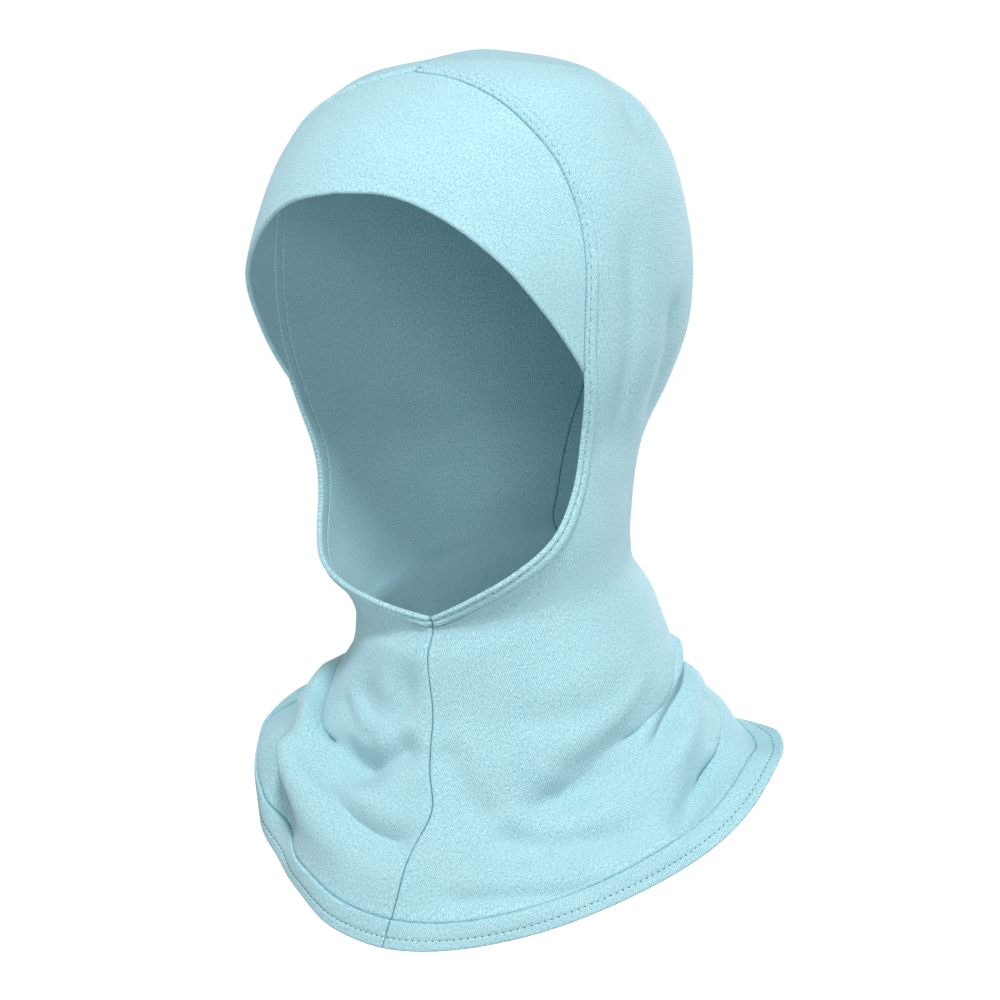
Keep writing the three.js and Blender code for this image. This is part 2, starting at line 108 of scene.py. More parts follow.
# Where the cloth rolls and creases. Rise is negative for a valley, and above and below are how far the fold
# reaches to the upper and lower side of its path, all in millimetres. A path is a list of angle and row.
FOLD_COLUMNS = ("rise", "above", "below", "path")
FOLDS = (
    # the left shoulder, from the neck down
    (-7.2, 6, 10, ((104, 14.95), (88, 15.2), (74, 15.38), (60, 15.5), (48, 15.65), (34, 15.85), (24, 16.05))),
    (-2.4, 5, 4, ((92, 14.85), (76, 15.1), (60, 15.22), (46, 15.33), (36, 15.4))),
    (3.4, 4, 4, ((130, 15.02), (120, 15.06), (108, 15.14), (94, 15.3), (80, 15.5), (66, 15.7))),
    (-4.4, 4, 5, ((150, 15.3), (124, 15.32), (108, 15.4), (95, 15.52), (82, 15.74), (68, 16))),
    (3.2, 5, 5, ((132, 15.6), (120, 15.64), (108, 15.72), (94, 15.95), (80, 16.2), (62, 16.35))),
    (-5, 7, 9, ((160, 17.6), (140, 17.55), (124, 17.6), (110, 17.8), (94, 18.2))),
    (-5.6, 5, 8, ((92, 16.55), (80, 16.85), (70, 17.4), (62, 18.1))),
    # the right shoulder
    (-6.6, 6, 7, ((-84, 14.9), (-70, 15.5), (-56, 15.7), (-42, 15.82), (-28, 15.84), (-14, 15.6))),
    (-5.4, 5, 7, ((-46, 15.75), (-34, 15.68), (-22, 15.36), (-12, 14.9), (-5, 14.4))),
    (-4.2, 9, 5, ((-46, 13.9), (-34, 14.26), (-23, 14.28), (-13, 13.86), (-6, 12.9))),
    (-2.6, 4, 5, ((-52, 14.6), (-42, 14.85), (-30, 14.95), (-20, 14.8))),
    (4.4, 5, 6, ((-130, 15.7), (-106, 15.8), (-84, 15.85), (-64, 16.02), (-44, 16.12), (-24, 16.2))),
    (-5, 4, 7, ((-96, 16), (-80, 16.3), (-66, 16.55), (-52, 16.75))),
    (-7.4, 6, 9, ((-58, 16.15), (-43, 16.36), (-30, 16.66), (-18, 16.95), (-6, 16.92), (3, 16.45))),
    (1.3, 7, 8, ((-70, 16.9), (-50, 17.1), (-30, 17.5), (-12, 17.7))),
    (-12.5, 13, 10, (
        (-28, 18.4), (-42, 18), (-56, 17.6), (-70, 17.3), (-84, 17.2), (-100, 17.3), (-130, 17.5),
    )),
    # the front
    (-2.6, 6, 7, ((4, 14.4), (9, 15.1), (13, 15.7), (21, 16.2))),
    (-4, 6, 5, ((14, 16.3), (26, 16.5), (37, 16.68), (46, 16.78), (62, 17))),
    (-1.8, 3, 3, ((26, 17.1), (31, 16.95), (37, 16.82))),
    (-2.6, 4, 5, ((6, 17.9), (18, 17.82), (28, 17.86), (40, 18.08), (50, 18))),
    (-2.6, 6, 6, ((34, 15.86), (52, 15.9), (70, 15.98))),
    (-1.6, 7, 6, ((24, 14.2), (44, 14.5), (66, 14.62), (88, 14.5))),
    (1.5, 7, 7, ((130, 13.1), (180, 13.3), (230, 13.1))),
    # the hood
    (-2.2, 7, 7, ((94, 2.3), (94, 3.6), (102, 4.6))),
    (-2.6, 7, 7, ((104, 6.4), (110, 7.5), (113, 9))),
    (-1.8, 6, 6, ((84, 5.2), (87, 6.6), (90, 8), (90, 9.6))),
)

# Sharp creases where the cloth above laps over the cloth below. Depth is of the crease, width its half width
# and lip how far the upper cloth is drawn over it, all in millimetres.
CREASE_COLUMNS = ("depth", "width", "lip", "path")
CREASES = (
    (8.5, 2, 7, (
        (136, 14.7), (124, 14.73), (111, 14.8), (102, 14.95),
        (94, 15.11), (85, 15.23), (74, 15.37), (64, 15.47),
    )),
    (7, 1.8, 5.2, (
        (160, 15.85), (130, 15.85), (114, 15.98), (111, 16.28),
        (104, 16.42), (94, 16.54), (84, 16.76), (75, 17.12),
    )),
    (8.5, 2.2, 7, (
        (-120, 14.85), (-92, 14.86), (-78, 15), (-71, 15.4),
        (-62, 15.63), (-52, 15.72), (-42, 15.78),
    )),
    (6, 1.8, 4.4, ((-130, 15.75), (-104, 15.85), (-86, 16.04), (-76, 16.34), (-66, 16.5))),
)

# How the hem is lifted round the bib, in shares of the hem's rise, at angles round from the front seam.
HEM_WAVE = (
    (-180, 0), (-136, 0.15), (-90, 0.92), (-76, 0.92), (-48, 0.1), (-34, 0.1), (-14, -0.05), (20, 0.05),
    (68, -0.1), (98, 0.2), (112, 0.2), (140, 0), (180, 0),
)
WAVE_ROWS = 2.5  # rows above the hem over which the lift fades

# How far a fold or crease reaches to either side, in metres, and the share of its length over which each end
# runs out.
FOLD_REACH = 0.03
FOLD_FADE = 0.22
CREASE_REACH = 0.02
CREASE_FADE = 0.3

# The section of a crease, in half widths down from its path: where it is deepest, and the middle and spread
# of the roll above it and of the cloth drawn over it. The roll's height is a share of the lip.
CREASE_BOTTOM = 0.5
ROLL_HEIGHT, ROLL_MIDDLE, ROLL_SPREAD = 0.1, -2.2, 1.8
LAP_MIDDLE, LAP_SPREAD = -1.6, 1.6

# Waves of slack cloth: how fast each runs to the left, back and up, in radians for each metre, and its phase.
# Slack is their height in millimetres. It grows over a few rows below the neck.
WAVES = ((70, -40, 190, 0.3), (-110, 95, 160, 1.9), (45, 150, -120, 4.1), (160, 60, 75, 2.6))
HOOD_SLACK = 0.12
BIB_SLACK = 0.4
SLACK_ROWS = 3


def colour(code):
    """The linear colour of an sRGB hex code such as 9fd3df."""
    parts = [int(code[i:i + 2], 16) / 255 for i in (0, 2, 4)]
    return [p / 12.92 if p <= 0.04045 else ((p + 0.055) / 1.055) ** 2.4 for p in parts] + [1]


def length(name, description, millimetres):
    """A size for the panel, given in millimetres."""
    return bpy.props.FloatProperty(
        name=name, description=description, default=millimetres * MM, min=0, unit="LENGTH", subtype="DISTANCE"
    )


def tint(name, description, code):
    """A colour for the panel, given as an sRGB hex code."""
    return bpy.props.FloatVectorProperty(
        name=name, description=description, default=colour(code), size=4, min=0, max=1, subtype="COLOR"
    )


class CapSizes(bpy.types.PropertyGroup):
    """Sizes of the cap, to the inside of the cloth."""

    head_breadth: length("Head breadth", "Widest part of the hood", 151.8)
    brow_reach: length("Brow reach", "From the upright line through the crown to the front", 101.4)
    head_back_reach: length("Back reach", "From the same line to the back of the hood", 77.9)
    opening_drop: length("Opening drop", "From the crown to under the opening", 219)
    neck_side_drop: length("Neck side drop", "From the crown to the top of the neck at the sides", 202)
    neck_back_drop: length("Neck back drop", "From the crown to the top of the neck at the back", 181)
    neck_breadth: length("Neck breadth", "Width of the neck", 108.4)
    neck_front_reach: length("Neck front reach", "From the line to the front of the neck", 42.6)
    neck_back_reach: length("Neck back reach", "From the line to the back of the neck", 55.2)
    neck_middle: length("Neck middle", "How far behind the line the neck is widest", 3.2)
    turn_axis: length("Turn axis", "How far behind the line the bib is turned about", 12)
    hem_breadth: length("Hem breadth", "Width of the bib at its hem", 214)
    hem_front_reach: length("Hem front reach", "From the line to the front of the hem", 70)
    hem_back_reach: length("Hem back reach", "From the line to the back of the hem", 114)
    hem_middle: length("Hem middle", "How far behind the line the hem is widest", 36)
    hem_front_drop: length("Hem front drop", "From the crown to the hem at the front", 343.5)
    hem_side_drop: length("Hem side drop", "From the crown to the hem at the sides", 278)
    hem_back_drop: length("Hem back drop", "From the crown to the hem at the back", 263)
    hem_rise: length("Hem rise", "How far the hem is lifted over the right shoulder", 21)
    cloth: length("Cloth", "Thickness of one layer", 1.2)
    folded: length("Folded cloth", "Thickness where the cloth is turned and stitched", 1.9)
    edge_width: length("Edge width", "Turned edge beside the band and the opening", 6)
    hem_width: length("Hem width", "From the hem's fold to its inner row of stitches", 11)
    gap: length("Gap", "Between neighbouring pieces", 0.3)


class CapColours(bpy.types.PropertyGroup):
    """Colours of the cap's cloth and thread."""

    cloth: tint("Cloth", "Colour of the jersey", "a4cfd8")
    # Darker yarns in the jersey's own mixed tone. The seam tubes beside the turned edges and above the hems
    # take this colour too, as painted shade at the bottom of those seams.
    shade: tint("Cloth shade", "Darker yarns in the jersey", "74b3c0")
    light: tint("Cloth light", "Lighter yarns in the jersey", "c6e6ec")
    # Painted shade: the stitches are given this dark colour for the shade of the stitch holes that they sink
    # into; the thread itself is paler.
    thread: tint("Thread", "Sewing thread, dark with painted shade of its stitch holes", "2f6370")
    # Painted shade: the seams beside the band and down the middle are given this colour for the shade in
    # their ditches.
    seam: tint("Seam", "Turned cloth at the bottom of the seams, dark with painted ditch shade", "4b8593")
    floor: tint("Floor", "Studio floor", "c4c4c4")


def colours():
    """The colours set in the panel."""
    return bpy.context.scene.cap_colours


def through(knots, at):
    """A smooth curve through evenly counted knots, at many places, all columns at a time."""
    knots = np.asarray(knots, float)
    at = np.asarray(at, float)
    last = len(knots) - 1
    i = np.clip(np.floor(at).astype(int), 0, last - 1)
    u = (at - i)[..., None]
    b, c = knots[i], knots[i + 1]
    a = np.where((i > 0)[..., None], knots[np.maximum(i - 1, 0)], 2 * b - c)
    d = np.where((i + 2 <= last)[..., None], knots[np.minimum(i + 2, last)], 2 * c - b)
    return b + 0.5 * u * (c - a + u * (2 * a - 5 * b + 4 * c - d + u * (3 * (b - c) + d - a)))


def mix(low, high, share):
    """A share of the way from low to high."""
    return low + (high - low) * share


def smooth_step(x):
    """From 0 to 1, level at both ends."""
    x = np.clip(x, 0, 1)
    return x * x * (3 - 2 * x)


def bell(x, middle, spread):
    """1 at the middle, falling away on both sides."""
    return np.exp(-(((x - middle) / spread) ** 2))


def norm(vectors):
    """The length of each vector."""
    return np.linalg.norm(vectors, axis=-1)


def unit(vectors):
    """Vectors at a length of one."""
    return vectors / np.maximum(np.linalg.norm(vectors, axis=-1, keepdims=True), 1e-12)


def named(columns, rows):
    """A dictionary of columns from plain rows."""
    return dict(zip(columns, np.array(rows, float).T))


ROW_COLUMNS = (*HEAD_COLUMNS[:-1], "turn", "seam")
NECK_ROW = len(HEAD_SECTIONS)
HEM_ROW = NECK_ROW + len(BIB_SECTIONS) - 1
STEP = 0.02  # of a row, to take slopes over and to stop short of an end
TURN_STEP = 1  # degree, to take slopes over


class Form:
    """The smooth form that the cloth lies on, and the folds in it."""

    def __init__(self, s):
        head = named(HEAD_COLUMNS, HEAD_SECTIONS)
        bib = named(BIB_COLUMNS, BIB_SECTIONS)
        unit = {
            "drop_front": s.opening_drop, "drop_side": s.opening_drop, "drop_back": s.opening_drop,
            "half": s.head_breadth / 2, "front": s.brow_reach,
            "side": s.head_back_reach, "back": s.head_back_reach,
        }
        upper = [head[c] * unit.get(c, 1) if c in head else 0 * head["seam"] for c in ROW_COLUMNS]
        lower = {
            "drop_front": mix(s.opening_drop, s.hem_front_drop, bib["fall_front"]),
            "drop_side": mix(s.neck_side_drop, s.hem_side_drop, bib["fall_side"]),
            "drop_back": mix(s.neck_back_drop, s.hem_back_drop, bib["fall_back"]),
            "half": mix(s.neck_breadth, s.hem_breadth, bib["flare_half"]) / 2,
            "front": mix(s.neck_front_reach, s.hem_front_reach, bib["flare_front"]),
            "side": mix(s.neck_middle, s.hem_middle, bib["flare_middle"]),
            "back": mix(s.neck_back_reach, s.hem_back_reach, bib["flare_back"]),
        }
        rows = np.vstack([np.array(upper).T, np.array([lower.get(c, bib.get(c)) for c in ROW_COLUMNS]).T])
        crown = rows[1].copy()
        for column in ("half", "front", "side", "back"):
            crown[ROW_COLUMNS.index(column)] *= -1
        self.knots = np.vstack([crown, rows])
        self.turn_axis = s.turn_axis
        self.hem_rise = s.hem_rise
        self.folds = [self.traced(FOLD_COLUMNS, row) for row in FOLDS]
        self.creases = [self.traced(CREASE_COLUMNS, row) for row in CREASES]

    def traced(self, columns, row):
        """The named values of a fold or crease, and its path as a line of points on the smooth form."""
        fold = dict(zip(columns, row))
        path = through(fold["path"], np.linspace(0, len(fold["path"]) - 1, 8 * len(fold["path"])))
        return {**fold, "line": self.smooth(path[:, 0], path[:, 1])}

    def smooth(self, angle, row):
        """Points of the smooth form. Angle is in degrees round from the front seam, positive to the left."""
        angle, row = np.broadcast_arrays(np.asarray(angle, float), np.asarray(row, float))
        s = dict(zip(ROW_COLUMNS, np.moveaxis(through(self.knots, row + 1), -1, 0)))
        a = np.radians(angle + s["seam"] - s["turn"])
        wide = (np.sin(a) + s["square"] * np.sin(3 * a)) / (1 - s["square"])
        deep = (np.cos(a) - s["square"] * np.cos(3 * a)) / (1 - s["square"])
        middle = (s["back"] - s["front"]) / 2
        skew = (s["side"] - middle) / 2
        ends = (s["drop_front"] + s["drop_back"]) / 2
        x = s["half"] * wide * (1 - s["egg"] * np.cos(a))
        y = middle + skew - deep * (s["front"] + s["back"]) / 2 - skew * np.cos(2 * a) - self.turn_axis
        drop = (ends + s["drop_side"]) / 2
        drop = drop + (s["drop_front"] - s["drop_back"]) / 2 * np.cos(a)
        drop = drop + (ends - s["drop_side"]) / 2 * np.cos(2 * a)
        turn = np.radians(s["turn"])
        across = x * np.cos(turn) - y * np.sin(turn)
        back = self.turn_axis + x * np.sin(turn) + y * np.cos(turn)
        return np.stack([across, back, self.hem_lift(angle, row) - drop], -1)

    def hem_lift(self, angle, row):
        """How far the cloth is lifted with the hem at a place."""
        knots, rises = np.transpose(HEM_WAVE)
        turned = (angle + 180) % 360 - 180
        at = np.searchsorted(knots, turned, side="right")
        share = smooth_step((turned - knots[at - 1]) / (knots[at] - knots[at - 1]))
        fade = np.maximum(1 - (HEM_ROW - row) / WAVE_ROWS, 0) ** 2
        return self.hem_rise * mix(rises[at - 1], rises[at], share) * fade

    def slopes(self, angle, row):
        """The steps down a row and round a degree, and the outward normal, on the smooth form."""
        at = np.clip(row, 2 * STEP, HEM_ROW - STEP)
        down = (self.smooth(angle, at + STEP) - self.smooth(angle, at - STEP)) / (2 * STEP)
        turn = (self.smooth(angle + TURN_STEP, at) - self.smooth(angle - TURN_STEP, at)) / (2 * TURN_STEP)
        return down, turn, unit(np.cross(down, turn))

    def cloth(self, angle, row):
        """Points of the cloth's inner face, with its folds, creases and small unevenness."""
        shape = np.broadcast(angle, row).shape
        angle, row = (np.broadcast_to(v, shape).astype(float).ravel() for v in (angle, row))
        p = self.smooth(angle, row)
        down, _, out = self.slopes(angle, row)
        down = unit(down)
        lift = np.zeros(len(p))
        slide = np.zeros(len(p))
        for fold in self.folds:
            near, gap, share, lower = beside(p, down, fold["line"], FOLD_REACH)
            spread = np.where(lower > 0, fold["below"], fold["above"]) * MM
            lift[near] += fold["rise"] * MM * run_out(share, FOLD_FADE) * bell(gap, 0, spread)
        for crease in self.creases:
            near, gap, share, lower = beside(p, down, crease["line"], CREASE_REACH)
            width, lip = crease["width"] * MM, crease["lip"] * MM
            across = np.sign(lower) * gap / width
            ends = run_out(share, CREASE_FADE)
            lift[near] -= crease["depth"] * MM * ends * bell(across, CREASE_BOTTOM, 1)
            lift[near] += ROLL_HEIGHT * lip * ends * bell(across, ROLL_MIDDLE, ROLL_SPREAD)
            slide[near] += lip * ends * bell(across, LAP_MIDDLE, LAP_SPREAD)
        lift += unevenness(p, row)
        p = p + out * lift[:, None] + down * slide[:, None]
        return p.reshape(*shape, 3)


def unevenness(p, row):
    """Shallow waves of slack cloth, deeper in the loose bib than on the close hood."""
    slack = mix(HOOD_SLACK, BIB_SLACK, smooth_step((row - NECK_ROW) / SLACK_ROWS)) * MM
    waves = 0
    for *pace, phase in WAVES:
        waves = waves + np.sin(p @ np.array(pace) + phase)
    return slack * waves / 2


def fitted():
    """The form at the sizes set in the panel, and those sizes."""
    s = bpy.context.scene.cap_sizes
    return Form(s), s


def run_out(share, fade):
    """From 0 at both ends of a fold to 1 in between."""
    return smooth_step(share / fade) * smooth_step((1 - share) / fade)


def beside(points, down, line, reach):
    """Which points lie within reach of a line, and their distance, share along it and side of it."""
    low, high = line.min(0) - reach, line.max(0) + reach
    near = np.nonzero(np.all((points > low) & (points < high), axis=1))[0]
    start, run = line[:-1], np.diff(line, axis=0)
    gap = np.full(len(near), np.inf)
    share = np.zeros(len(near))
    lower = np.zeros(len(near))
    p, d = points[near], down[near]
    for n, (a, r) in enumerate(zip(start, run)):
        t = np.clip((p - a) @ r / (r @ r), 0, 1)
        away = p - a - t[:, None] * r
        distance = norm(away)
        closer = distance < gap
        gap[closer] = distance[closer]
        share[closer] = (n + t[closer]) / len(run)
        lower[closer] = (away * d).sum(1)[closer]
    return near, gap, share, lower


def on_edge(at):
    """Angle and row of places counted along the panel's front edge."""
    point = through(PANEL_EDGE, at)
    return point[..., 0], point[..., 1]


def beside_edge(form, hand, at, width):
    """Angle and row beside the panel's edge, by a width on the cloth away from the opening."""
    at = np.asarray(at, float)
    angle, row = on_edge(at)
    ahead = through(PANEL_EDGE, np.minimum(at + STEP, EDGE_LAST))
    behind = through(PANEL_EDGE, np.maximum(at - STEP, 0))
    down, turn, _ = form.slopes(angle * hand, row)
    turn = turn * hand
    e, f, g = (turn * turn).sum(-1), (turn * down).sum(-1), (down * down).sum(-1)
    run_angle, run_row = np.moveaxis(ahead - behind, -1, 0)
    on_seam = (at <= 0) | (at >= EDGE_LAST)
    step_angle = np.where(on_seam, 0, f * run_angle + g * run_row)
    step_row = np.where(on_seam, -np.sign(run_angle), -(e * run_angle + f * run_row))
    size = np.sqrt(e * step_angle ** 2 + 2 * f * step_angle * step_row + g * step_row ** 2)
    return angle + width * step_angle / size, row + width * step_row / size


NEAR_HEM = HEM_ROW - 0.3  # row at which the bib's slope down to the hem is taken


def above_hem(form, angle, width):
    """The row that lies a width above the hem."""
    down = form.slopes(np.asarray(angle, float), np.full(np.shape(angle), NEAR_HEM))[0]
    return HEM_ROW - width / norm(down)


def girth(form, angle, row):
    """Metres round the form for one degree."""
    return np.maximum(norm(form.slopes(angle, row)[1]), 1e-6)


ROUNDING = np.array([0, 0.12, 0.35, 0.7, 1.2]) * MM  # places near a border, where the cloth's edge curves in


def spaced(start, end, count, step_in):
    """Counted places from a start to an end, with the rounding's places at each end. Step_in is one metre."""
    n = len(ROUNDING)
    near = np.minimum(ROUNDING * step_in[:, None], np.linspace(0, 1, count)[:n])
    between = np.linspace(0, 1, count - 2 * n + 2)[1:-1]
    middle = mix(near[:, -1:], 1 - near[:, -1:], between)
    places = np.concatenate([near, middle, 1 - near[:, ::-1]], axis=1)
    return mix(start[:, None], end[:, None], places)


def distance_along(points, axis=0):
    """How far along a line or a grid of points each of them lies."""
    steps = norm(np.diff(points, axis=axis))
    return np.insert(np.cumsum(steps, axis=axis), 0, 0, axis=axis)


def grid_normals(points):
    """Outward normals of a grid of points whose rows run down and columns run to the left. Where cells have
    shrunk to nothing, the normals are taken from those around.
    """
    out = np.cross(np.gradient(points, axis=0), np.gradient(points, axis=1))
    weak = norm(out) < 1e-10
    out = unit(out)
    out[weak] = 0
    for _ in range(3):
        spread = np.roll(out, 1, 0) + np.roll(out, -1, 0) + np.roll(out, 1, 1) + np.roll(out, -1, 1)
        out[weak] = unit(spread)[weak]
    return out


def rounded(distance, radius):
    """How full the cloth is at a distance from its border: 0 at the border and 1 past the radius."""
    x = np.clip(distance / radius, 0, 1)
    return np.sqrt(1 - (1 - x) ** 2)


def border_distance(points, sides):
    """The distance of each point of a grid from the nearest of the given borders, measured along the grid."""
    from_top = distance_along(points)
    from_left = distance_along(points, axis=1)
    away = {
        "top": from_top, "bottom": from_top[-1:] - from_top,
        "left": from_left, "right": from_left[:, -1:] - from_left,
    }
    return np.minimum.reduce([away[side] for side in sides])


def shell(name, points, grain, thick, lift, radius, sides=("top", "bottom", "left", "right")):
    """A closed piece of cloth on a grid of points, with rounded borders. Grain is the grid laid flat, and
    lift raises the outer face. The inner face has every second point.
    """
    out = grid_normals(points)
    full = rounded(border_distance(points, sides), radius)[..., None]
    lift = np.broadcast_to(lift, points.shape[:2])[..., None]
    middle = points + out * thick / 2
    inner = (middle - out * full * thick / 2)[::2, ::2]
    outer = middle + out * full * (thick / 2 + lift)
    index = np.arange(outer[..., 0].size).reshape(outer.shape[:2])
    under = index.size + np.arange(inner[..., 0].size).reshape(inner.shape[:2])
    faces = cells(index) + cells(under[:, ::-1])
    for near, far in ((index, under), (index[::-1, ::-1], under[::-1, ::-1])):
        faces += walls(near[0, ::-1], far[0, ::-1]) + walls(near[:, 0], far[:, 0])
    corners = np.concatenate([outer.reshape(-1, 3), inner.reshape(-1, 3)])
    flat = np.concatenate([grain.reshape(-1, 2), grain[::2, ::2].reshape(-1, 2)])
    return closed_piece(name, corners, faces, flat)


def cells(index):
    """The four-sided faces of a grid of corners."""
    a, b, c, d = index[:-1, :-1], index[1:, :-1], index[1:, 1:], index[:-1, 1:]
    return np.stack([a, b, c, d], -1).reshape(-1, 4).tolist()


def walls(near, far):
    """The faces that join a border of the outer face to the inner face's, which has every second corner."""
    return np.stack([near[2::2], near[1::2], near[:-2:2], far[:-1], far[1:]], -1).tolist()


MEETING = 0.002 * MM  # corners nearer than this are one


def closed_piece(name, points, faces, grain=None):
    """A piece whose meeting corners are merged, so that it is one closed skin that faces outwards. Grain is
    where each corner lies on the flat cloth, in metres, for the knit pattern.
    """
    mesh = bpy.data.meshes.new(name)
    mesh.from_pydata(points.reshape(-1, 3).tolist(), [], faces)
    if grain is not None:
        layer = mesh.attributes.new("grain", "FLOAT_VECTOR", "POINT")
        layer.data.foreach_set("vector", np.pad(grain, ((0, 0), (0, 1))).ravel())
    work = bmesh.new()
    work.from_mesh(mesh)
    bmesh.ops.remove_doubles(work, verts=work.verts, dist=MEETING)
    bmesh.ops.dissolve_degenerate(work, edges=work.edges, dist=MEETING / 2)
    bmesh.ops.recalc_face_normals(work, faces=work.faces)
    for face in work.faces:
        face.smooth = True
    work.to_mesh(mesh)
    work.free()
    obj = bpy.data.objects.new(name, mesh)
    bpy.context.collection.objects.link(obj)
    return obj


def flattened(points, every=6, rounds=500, haste=1.6):
    """The grid laid flat like a cut pattern, each cell as near to its real shape as it can be. It is worked
    out on every sixth point, in rounds that move each by haste times what its neighbours ask.
    """
    coarse = points[::every, ::every]
    rows, columns = coarse.shape[:2]
    across = distance_along(coarse, axis=1)
    down = distance_along(coarse[:, columns // 2])
    flat = np.stack(np.broadcast_arrays(across - across[:, columns // 2, None], -down[:, None]), -1).copy()
    pairs = (
        (np.s_[:-1, :], np.s_[1:, :]), (np.s_[:, :-1], np.s_[:, 1:]),
        (np.s_[:-1, :-1], np.s_[1:, 1:]), (np.s_[1:, :-1], np.s_[:-1, 1:]),
    )
    rest = [norm(coarse[a] - coarse[b]) for a, b in pairs]
    for _ in range(rounds):
        push = np.zeros_like(flat)
        count = np.zeros(flat.shape[:2])
        for (a, b), real in zip(pairs, rest):
            run = flat[b] - flat[a]
            now = np.maximum(norm(run), 1e-9)
            pull = run * (0.5 * (1 - real / now))[..., None]
            push[a] += pull
            push[b] -= pull
            count[a] += 1
            count[b] += 1
        flat += haste * push / count[..., None]
    tall = through(flat.reshape(rows, -1), np.arange(points.shape[0]) / every).reshape(-1, columns, 2)
    wide = through(tall.transpose(1, 0, 2).reshape(columns, -1), np.arange(points.shape[1]) / every)
    return wide.reshape(points.shape[1], -1, 2).transpose(1, 0, 2)


def cut_size(grain):
    """The flat cut's width and length, and its area, in metres."""
    a, b, c, d = grain[:-1, :-1], grain[1:, :-1], grain[1:, 1:], grain[:-1, 1:]
    one, two = c - a, d - b
    area = np.abs(one[..., 0] * two[..., 1] - one[..., 1] * two[..., 0]).sum() / 2
    width, height = np.ptp(grain.reshape(-1, 2), axis=0)
    return (float(width), float(height)), float(area)


def adopt(obj, material, slot, *nodes):
    """Gives a piece its finish and its body, and hides the CAD nodes that it stands for."""
    obj.data.materials.clear()
    obj.data.materials.append(material)
    if nodes:
        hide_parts(*nodes)
    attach(obj, "root")


def declare(obj, grain):
    """Prints a piece's size as a flat cut, before it was worn, and its area."""
    flat, area = cut_size(grain)
    area = min(max(area, 0.3 * flat[0] * flat[1]), flat[0] * flat[1])
    print(f"{obj.name}: cut {flat[0]:.3f} x {flat[1]:.3f} m, {area:.4f} square metres")


def facing(grid, hand):
    """A grid with its columns running to the left, as the other functions expect."""
    return grid if hand > 0 else grid[:, ::-1]


SIDES = (("left", 1), ("right", -1))
TRIMS = ("jersey_edge", "edge_stitches", "band_seam", "edge_seam", "jersey_hem", "hem_stitches", "hem_seam")

# How many rows and columns of cells the pieces have, each a multiple of six for the flat pattern.
CROWN_ROWS = 24
EDGE_ROWS = 120
BIB_ROWS = 168
PANEL_COLUMNS = 222
STRIP_ROWS = 330
BAND_ROWS = 60
BAND_COLUMNS = 240
HEM_COLUMNS = 300

# How far in from its border the cloth of each piece has its full thickness.
PANEL_ROUND = 0.9 * MM
EDGE_ROUND = 0.9 * MM
BAND_ROUND = 1 * MM
HEM_ROUND = 0.8 * MM

# Places across a turned edge, from the opening, and up a hem, to its fold, as shares of their width. They are
# closest at the borders and round the stitches.
STRIP_WIDTHS = np.array(
    [0, 0.12, 0.35, 0.7, 1.2, 1.6, 1.95, 2.2, 2.45, 2.8, 3.3, 3.9, 4.5, 5, 5.35, 5.6, 5.8, 5.92, 6]
) / 6
HEM_WIDTHS = np.array(
    [
        13, 12.88, 12.65, 12.3, 11.8, 11, 10, 8.5, 7, 6, 5.3, 4.8, 4.5, 4.2, 3.9, 3.6, 3, 2.2, 1.4, 0.8,
        0.4, 0.15, 0,
    ]
) / 13

# Where the stitches run, and the height, middle and spread of the ridges beside them and of the ditch that
# they draw in, in millimetres from the opening or the hem's fold.
EDGE_STITCH = 2.2
HEM_STITCH = 4.2
EDGE_RIDGES = ((0.45, 0.9, 0.6), (0.6, 3.9, 1.4), (-0.5, EDGE_STITCH, 0.35))
HEM_RIDGES = ((0.25, 8, 3), (-0.55, HEM_STITCH, 0.4))

# The pitch, length and thickness of the stitches, and how far they are drawn into the cloth.
EDGE_STITCHES = (4 * MM, 2.3 * MM, 0.42 * MM)
HEM_STITCHES = (2.7 * MM, 1.5 * MM, 0.5 * MM)
DRAWN_IN = 0.35 * MM

# Thickness of the thread and turned cloth in the seams, and how high it lies as a share of the cloth's own.
SEAM_THICK = 0.7 * MM
MIDDLE_THICK = 0.75 * MM
BAND_SEAM_HEIGHT = 0.45
EDGE_SEAM_HEIGHT = 0.4
HEM_SEAM_HEIGHT = 0.75
MIDDLE_SEAM_HEIGHT = 0.5

# How many points each line of stitches or seam is traced through.
EDGE_POINTS = 700
HEM_POINTS = 720
FRONT_POINTS = 400
CROWN_POINTS = 60
BACK_POINTS = 600
POLE_ROW = 0.05  # how near the crown's middle the seam over it is traced


def seam_gap(form, angle, row, gap):
    """The angle that half a gap takes up beside the front or back seam, ten degrees at most."""
    return gap / 2 / np.maximum(girth(form, angle, row), gap / 20)


def panel_places(form, s, hand):
    """Angles and rows of the grid of one side of the hood and bib."""
    set_back = s.edge_width + s.gap
    top = beside_edge(form, hand, np.array([0.0]), set_back)[1][0]
    lower = beside_edge(form, hand, np.array([float(EDGE_LAST)]), set_back)[1][0]
    along = np.arange(1, EDGE_ROWS) * EDGE_LAST / EDGE_ROWS
    edge_angle, edge_row = beside_edge(form, hand, along, set_back)
    crown_row = np.linspace(0, top, CROWN_ROWS + 1)
    fall = np.linspace(0, 1, BIB_ROWS + 1)
    fall[-len(ROUNDING):] = 1 - ROUNDING[::-1] / (s.hem_side_drop - s.neck_side_drop)
    bib_row = mix(lower, above_hem(form, 90 * hand, s.hem_width + s.gap), fall)
    row = np.concatenate([crown_row, edge_row, bib_row])
    front = seam_gap(form, 0, row, s.gap)
    front[len(crown_row):len(crown_row) + len(edge_row)] = edge_angle
    back = 180 - seam_gap(form, 180, row, s.gap)
    size = (back - front) * girth(form, 90 * hand, row)
    angle = spaced(front, back, PANEL_COLUMNS + 1, 1 / np.maximum(size, MM))
    rows = np.repeat(row[:, None], PANEL_COLUMNS + 1, axis=1)
    bib = slice(len(row) - len(bib_row), None)
    hem = above_hem(form, angle[bib] * hand, s.hem_width + s.gap)
    rows[bib] = mix(lower, hem, fall[:, None])
    return angle * hand, rows


